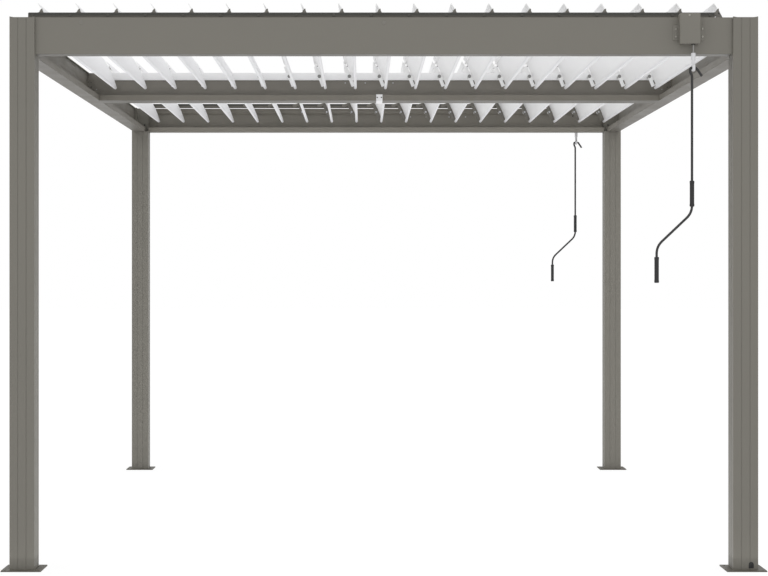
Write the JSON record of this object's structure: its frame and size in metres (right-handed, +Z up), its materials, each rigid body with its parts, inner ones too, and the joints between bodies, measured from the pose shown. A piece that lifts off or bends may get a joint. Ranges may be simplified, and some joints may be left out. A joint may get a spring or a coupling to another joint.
{
  "type": "louvered pergola",
  "caption": "Free-standing aluminium pergola on square posts, with gutter beams, two bays of tilting louvers, link bars, gear boxes and hooked cranks.",
  "frame": {"origin": "on the ground at the middle of the plan, under the middle beam", "axes": "+Z up, +Y from the front to the back along the louvers, +X to the right seen from the front"},
  "size_m": [3.06, 4.06, 2.2858],
  "materials": {
    "pale_coat": "satin white powder coat",
    "white_eye": "white coat, slightly glossy",
    "dark_crank": "dark grey coat with moulded grips",
    "dark_bar": "dark satin coat",
    "black_plastic": "matt",
    "box_coat": "warm grey satin coat",
    "plate_coat": "warm grey satin coat",
    "frame_coat": "warm grey fine-textured powder coat"
  },
  "bodies": {
    "frame": {"post_front_right": "frame_coat", "post_front_left": "frame_coat", "post_back_right": "frame_coat", "post_back_left": "frame_coat", "post_caps": "frame_coat", "base_plates": "plate_coat", "drain_outlet": "black_plastic", "beam_front": "frame_coat", "beam_back": "frame_coat", "beam_left": "frame_coat", "beam_right": "frame_coat", "beam_middle": "frame_coat", "beam_brackets": "frame_coat", "centre_clip": "pale_coat", "pivot_rails": "pale_coat", "gear_boxes": "box_coat"},
    "louver_front_01": {"louver_front_01": "pale_coat"},
    "louver_front_02": {"louver_front_02": "pale_coat"},
    "louver_front_03": {"louver_front_03": "pale_coat"},
    "louver_front_04": {"louver_front_04": "pale_coat"},
    "louver_front_05": {"louver_front_05": "pale_coat"},
    "louver_front_06": {"louver_front_06": "pale_coat"},
    "louver_front_07": {"louver_front_07": "pale_coat"},
    "louver_front_08": {"louver_front_08": "pale_coat"},
    "louver_front_09": {"louver_front_09": "pale_coat"},
    "louver_front_10": {"louver_front_10": "pale_coat"},
    "louver_front_11": {"louver_front_11": "pale_coat"},
    "louver_front_12": {"louver_front_12": "pale_coat"},
    "louver_front_13": {"louver_front_13": "pale_coat"},
    "louver_front_14": {"louver_front_14": "pale_coat"},
    "louver_front_15": {"louver_front_15": "pale_coat"},
    "louver_front_16": {"louver_front_16": "pale_coat"},
    "louver_front_17": {"louver_front_17": "pale_coat"},
    "louver_front_18": {"louver_front_18": "pale_coat"},
    "louver_front_19": {"louver_front_19": "pale_coat"},
    "link_bar_front": {"link_bar_front": "dark_bar"},
    "crank_eye_front": {"crank_eye_front": "white_eye"},
    "crank_handle_front": {"crank_handle_front": "dark_crank"},
    "louver_back_01": {"louver_back_01": "pale_coat"},
    "louver_back_02": {"louver_back_02": "pale_coat"},
    "louver_back_03": {"louver_back_03": "pale_coat"},
    "louver_back_04": {"louver_back_04": "pale_coat"},
    "louver_back_05": {"louver_back_05": "pale_coat"},
    "louver_back_06": {"louver_back_06": "pale_coat"},
    "louver_back_07": {"louver_back_07": "pale_coat"},
    "louver_back_08": {"louver_back_08": "pale_coat"},
    "louver_back_09": {"louver_back_09": "pale_coat"},
    "louver_back_10": {"louver_back_10": "pale_coat"},
    "louver_back_11": {"louver_back_11": "pale_coat"},
    "louver_back_12": {"louver_back_12": "pale_coat"},
    "louver_back_13": {"louver_back_13": "pale_coat"},
    "louver_back_14": {"louver_back_14": "pale_coat"},
    "louver_back_15": {"louver_back_15": "pale_coat"},
    "louver_back_16": {"louver_back_16": "pale_coat"},
    "louver_back_17": {"louver_back_17": "pale_coat"},
    "louver_back_18": {"louver_back_18": "pale_coat"},
    "louver_back_19": {"louver_back_19": "pale_coat"},
    "link_bar_back": {"link_bar_back": "dark_bar"},
    "crank_eye_back": {"crank_eye_back": "white_eye"},
    "crank_handle_back": {"crank_handle_back": "dark_crank"}
  },
  "joints": [
    {"name": "louver_front_01_turn", "type": "hinge", "parent": "frame", "child": "louver_front_01", "pos_m": [-1.368, -1, 2.1955], "axis": [0, 1, 0], "range_deg": [0, 105]},
    {"name": "louver_front_02_turn", "type": "hinge", "parent": "frame", "child": "louver_front_02", "pos_m": [-1.216, -1, 2.1955], "axis": [0, 1, 0], "range_deg": [0, 105]},
    {"name": "louver_front_03_turn", "type": "hinge", "parent": "frame", "child": "louver_front_03", "pos_m": [-1.064, -1, 2.1955], "axis": [0, 1, 0], "range_deg": [0, 105]},
    {"name": "louver_front_04_turn", "type": "hinge", "parent": "frame", "child": "louver_front_04", "pos_m": [-0.912, -1, 2.1955], "axis": [0, 1, 0], "range_deg": [0, 105]},
    {"name": "louver_front_05_turn", "type": "hinge", "parent": "frame", "child": "louver_front_05", "pos_m": [-0.76, -1, 2.1955], "axis": [0, 1, 0], "range_deg": [0, 105]},
    {"name": "louver_front_06_turn", "type": "hinge", "parent": "frame", "child": "louver_front_06", "pos_m": [-0.608, -1, 2.1955], "axis": [0, 1, 0], "range_deg": [0, 105]},
    {"name": "louver_front_07_turn", "type": "hinge", "parent": "frame", "child": "louver_front_07", "pos_m": [-0.456, -1, 2.1955], "axis": [0, 1, 0], "range_deg": [0, 105]},
    {"name": "louver_front_08_turn", "type": "hinge", "parent": "frame", "child": "louver_front_08", "pos_m": [-0.304, -1, 2.1955], "axis": [0, 1, 0], "range_deg": [0, 105]},
    {"name": "louver_front_09_turn", "type": "hinge", "parent": "frame", "child": "louver_front_09", "pos_m": [-0.152, -1, 2.1955], "axis": [0, 1, 0], "range_deg": [0, 105]},
    {"name": "louver_front_10_turn", "type": "hinge", "parent": "frame", "child": "louver_front_10", "pos_m": [0, -1, 2.1955], "axis": [0, 1, 0], "range_deg": [0, 105]},
    {"name": "louver_front_11_turn", "type": "hinge", "parent": "frame", "child": "louver_front_11", "pos_m": [0.152, -1, 2.1955], "axis": [0, 1, 0], "range_deg": [0, 105]},
    {"name": "louver_front_12_turn", "type": "hinge", "parent": "frame", "child": "louver_front_12", "pos_m": [0.304, -1, 2.1955], "axis": [0, 1, 0], "range_deg": [0, 105]},
    {"name": "louver_front_13_turn", "type": "hinge", "parent": "frame", "child": "louver_front_13", "pos_m": [0.456, -1, 2.1955], "axis": [0, 1, 0], "range_deg": [0, 105]},
    {"name": "louver_front_14_turn", "type": "hinge", "parent": "frame", "child": "louver_front_14", "pos_m": [0.608, -1, 2.1955], "axis": [0, 1, 0], "range_deg": [0, 105]},
    {"name": "louver_front_15_turn", "type": "hinge", "parent": "frame", "child": "louver_front_15", "pos_m": [0.76, -1, 2.1955], "axis": [0, 1, 0], "range_deg": [0, 105]},
    {"name": "louver_front_16_turn", "type": "hinge", "parent": "frame", "child": "louver_front_16", "pos_m": [0.912, -1, 2.1955], "axis": [0, 1, 0], "range_deg": [0, 105]},
    {"name": "louver_front_17_turn", "type": "hinge", "parent": "frame", "child": "louver_front_17", "pos_m": [1.064, -1, 2.1955], "axis": [0, 1, 0], "range_deg": [0, 105]},
    {"name": "louver_front_18_turn", "type": "hinge", "parent": "frame", "child": "louver_front_18", "pos_m": [1.216, -1, 2.1955], "axis": [0, 1, 0], "range_deg": [0, 105]},
    {"name": "louver_front_19_turn", "type": "hinge", "parent": "frame", "child": "louver_front_19", "pos_m": [1.368, -1, 2.1955], "axis": [0, 1, 0], "range_deg": [0, 105]},
    {"name": "link_bar_front_pin", "type": "hinge", "parent": "louver_front_10", "child": "link_bar_front", "pos_m": [-0.05, -1.9395, 2.2335], "axis": [0, 1, 0], "range_deg": [-105.1, 0]},
    {"name": "crank_front_spin", "type": "hinge", "parent": "frame", "child": "crank_eye_front", "pos_m": [1.2385, -2.009, 2.06], "axis": [0, 0, 1], "range_deg": [0, 1470.5]},
    {"name": "crank_front_swing", "type": "hinge", "parent": "crank_eye_front", "child": "crank_handle_front", "pos_m": [1.2385, -2.009, 2.014], "axis": [1, 0, 0], "range_deg": [-20, 20]},
    {"name": "louver_back_01_turn", "type": "hinge", "parent": "frame", "child": "louver_back_01", "pos_m": [-1.368, 1, 2.1955], "axis": [0, 1, 0], "range_deg": [0, 105]},
    {"name": "louver_back_02_turn", "type": "hinge", "parent": "frame", "child": "louver_back_02", "pos_m": [-1.216, 1, 2.1955], "axis": [0, 1, 0], "range_deg": [0, 105]},
    {"name": "louver_back_03_turn", "type": "hinge", "parent": "frame", "child": "louver_back_03", "pos_m": [-1.064, 1, 2.1955], "axis": [0, 1, 0], "range_deg": [0, 105]},
    {"name": "louver_back_04_turn", "type": "hinge", "parent": "frame", "child": "louver_back_04", "pos_m": [-0.912, 1, 2.1955], "axis": [0, 1, 0], "range_deg": [0, 105]},
    {"name": "louver_back_05_turn", "type": "hinge", "parent": "frame", "child": "louver_back_05", "pos_m": [-0.76, 1, 2.1955], "axis": [0, 1, 0], "range_deg": [0, 105]},
    {"name": "louver_back_06_turn", "type": "hinge", "parent": "frame", "child": "louver_back_06", "pos_m": [-0.608, 1, 2.1955], "axis": [0, 1, 0], "range_deg": [0, 105]},
    {"name": "louver_back_07_turn", "type": "hinge", "parent": "frame", "child": "louver_back_07", "pos_m": [-0.456, 1, 2.1955], "axis": [0, 1, 0], "range_deg": [0, 105]},
    {"name": "louver_back_08_turn", "type": "hinge", "parent": "frame", "child": "louver_back_08", "pos_m": [-0.304, 1, 2.1955], "axis": [0, 1, 0], "range_deg": [0, 105]},
    {"name": "louver_back_09_turn", "type": "hinge", "parent": "frame", "child": "louver_back_09", "pos_m": [-0.152, 1, 2.1955], "axis": [0, 1, 0], "range_deg": [0, 105]},
    {"name": "louver_back_10_turn", "type": "hinge", "parent": "frame", "child": "louver_back_10", "pos_m": [0, 1, 2.1955], "axis": [0, 1, 0], "range_deg": [0, 105]},
    {"name": "louver_back_11_turn", "type": "hinge", "parent": "frame", "child": "louver_back_11", "pos_m": [0.152, 1, 2.1955], "axis": [0, 1, 0], "range_deg": [0, 105]},
    {"name": "louver_back_12_turn", "type": "hinge", "parent": "frame", "child": "louver_back_12", "pos_m": [0.304, 1, 2.1955], "axis": [0, 1, 0], "range_deg": [0, 105]},
    {"name": "louver_back_13_turn", "type": "hinge", "parent": "frame", "child": "louver_back_13", "pos_m": [0.456, 1, 2.1955], "axis": [0, 1, 0], "range_deg": [0, 105]},
    {"name": "louver_back_14_turn", "type": "hinge", "parent": "frame", "child": "louver_back_14", "pos_m": [0.608, 1, 2.1955], "axis": [0, 1, 0], "range_deg": [0, 105]},
    {"name": "louver_back_15_turn", "type": "hinge", "parent": "frame", "child": "louver_back_15", "pos_m": [0.76, 1, 2.1955], "axis": [0, 1, 0], "range_deg": [0, 105]},
    {"name": "louver_back_16_turn", "type": "hinge", "parent": "frame", "child": "louver_back_16", "pos_m": [0.912, 1, 2.1955], "axis": [0, 1, 0], "range_deg": [0, 105]},
    {"name": "louver_back_17_turn", "type": "hinge", "parent": "frame", "child": "louver_back_17", "pos_m": [1.064, 1, 2.1955], "axis": [0, 1, 0], "range_deg": [0, 105]},
    {"name": "louver_back_18_turn", "type": "hinge", "parent": "frame", "child": "louver_back_18", "pos_m": [1.216, 1, 2.1955], "axis": [0, 1, 0], "range_deg": [0, 105]},
    {"name": "louver_back_19_turn", "type": "hinge", "parent": "frame", "child": "louver_back_19", "pos_m": [1.368, 1, 2.1955], "axis": [0, 1, 0], "range_deg": [0, 105]},
    {"name": "link_bar_back_pin", "type": "hinge", "parent": "louver_back_10", "child": "link_bar_back", "pos_m": [-0.05, 1.9395, 2.2335], "axis": [0, 1, 0], "range_deg": [-105.1, 0]},
    {"name": "crank_back_spin", "type": "hinge", "parent": "frame", "child": "crank_eye_back", "pos_m": [1.2385, 2.009, 2.06], "axis": [0, 0, 1], "range_deg": [0, 1470.5]},
    {"name": "crank_back_swing", "type": "hinge", "parent": "crank_eye_back", "child": "crank_handle_back", "pos_m": [1.2385, 2.009, 2.014], "axis": [1, 0, 0], "range_deg": [-20, 20]}
  ],
  "couplings": [
    {"joint": "louver_front_01_turn", "follows": "louver_front_18_turn", "ratio": 1},
    {"joint": "louver_front_02_turn", "follows": "louver_front_18_turn", "ratio": 1},
    {"joint": "louver_front_03_turn", "follows": "louver_front_18_turn", "ratio": 1},
    {"joint": "louver_front_04_turn", "follows": "louver_front_18_turn", "ratio": 1},
    {"joint": "louver_front_05_turn", "follows": "louver_front_18_turn", "ratio": 1},
    {"joint": "louver_front_06_turn", "follows": "louver_front_18_turn", "ratio": 1},
    {"joint": "louver_front_07_turn", "follows": "louver_front_18_turn", "ratio": 1},
    {"joint": "louver_front_08_turn", "follows": "louver_front_18_turn", "ratio": 1},
    {"joint": "louver_front_09_turn", "follows": "louver_front_18_turn", "ratio": 1},
    {"joint": "louver_front_10_turn", "follows": "louver_front_18_turn", "ratio": 1},
    {"joint": "louver_front_11_turn", "follows": "louver_front_18_turn", "ratio": 1},
    {"joint": "louver_front_12_turn", "follows": "louver_front_18_turn", "ratio": 1},
    {"joint": "louver_front_13_turn", "follows": "louver_front_18_turn", "ratio": 1},
    {"joint": "louver_front_14_turn", "follows": "louver_front_18_turn", "ratio": 1},
    {"joint": "louver_front_15_turn", "follows": "louver_front_18_turn", "ratio": 1},
    {"joint": "louver_front_16_turn", "follows": "louver_front_18_turn", "ratio": 1},
    {"joint": "louver_front_17_turn", "follows": "louver_front_18_turn", "ratio": 1},
    {"joint": "louver_front_19_turn", "follows": "louver_front_18_turn", "ratio": 1},
    {"joint": "link_bar_front_pin", "follows": "louver_front_18_turn", "ratio": -1},
    {"joint": "crank_front_spin", "follows": "louver_front_18_turn", "ratio": 14},
    {"joint": "louver_back_01_turn", "follows": "louver_back_18_turn", "ratio": 1},
    {"joint": "louver_back_02_turn", "follows": "louver_back_18_turn", "ratio": 1},
    {"joint": "louver_back_03_turn", "follows": "louver_back_18_turn", "ratio": 1},
    {"joint": "louver_back_04_turn", "follows": "louver_back_18_turn", "ratio": 1},
    {"joint": "louver_back_05_turn", "follows": "louver_back_18_turn", "ratio": 1},
    {"joint": "louver_back_06_turn", "follows": "louver_back_18_turn", "ratio": 1},
    {"joint": "louver_back_07_turn", "follows": "louver_back_18_turn", "ratio": 1},
    {"joint": "louver_back_08_turn", "follows": "louver_back_18_turn", "ratio": 1},
    {"joint": "louver_back_09_turn", "follows": "louver_back_18_turn", "ratio": 1},
    {"joint": "louver_back_10_turn", "follows": "louver_back_18_turn", "ratio": 1},
    {"joint": "louver_back_11_turn", "follows": "louver_back_18_turn", "ratio": 1},
    {"joint": "louver_back_12_turn", "follows": "louver_back_18_turn", "ratio": 1},
    {"joint": "louver_back_13_turn", "follows": "louver_back_18_turn", "ratio": 1},
    {"joint": "louver_back_14_turn", "follows": "louver_back_18_turn", "ratio": 1},
    {"joint": "louver_back_15_turn", "follows": "louver_back_18_turn", "ratio": 1},
    {"joint": "louver_back_16_turn", "follows": "louver_back_18_turn", "ratio": 1},
    {"joint": "louver_back_17_turn", "follows": "louver_back_18_turn", "ratio": 1},
    {"joint": "louver_back_19_turn", "follows": "louver_back_18_turn", "ratio": 1},
    {"joint": "link_bar_back_pin", "follows": "louver_back_18_turn", "ratio": -1},
    {"joint": "crank_back_spin", "follows": "louver_back_18_turn", "ratio": 14}
  ]
}
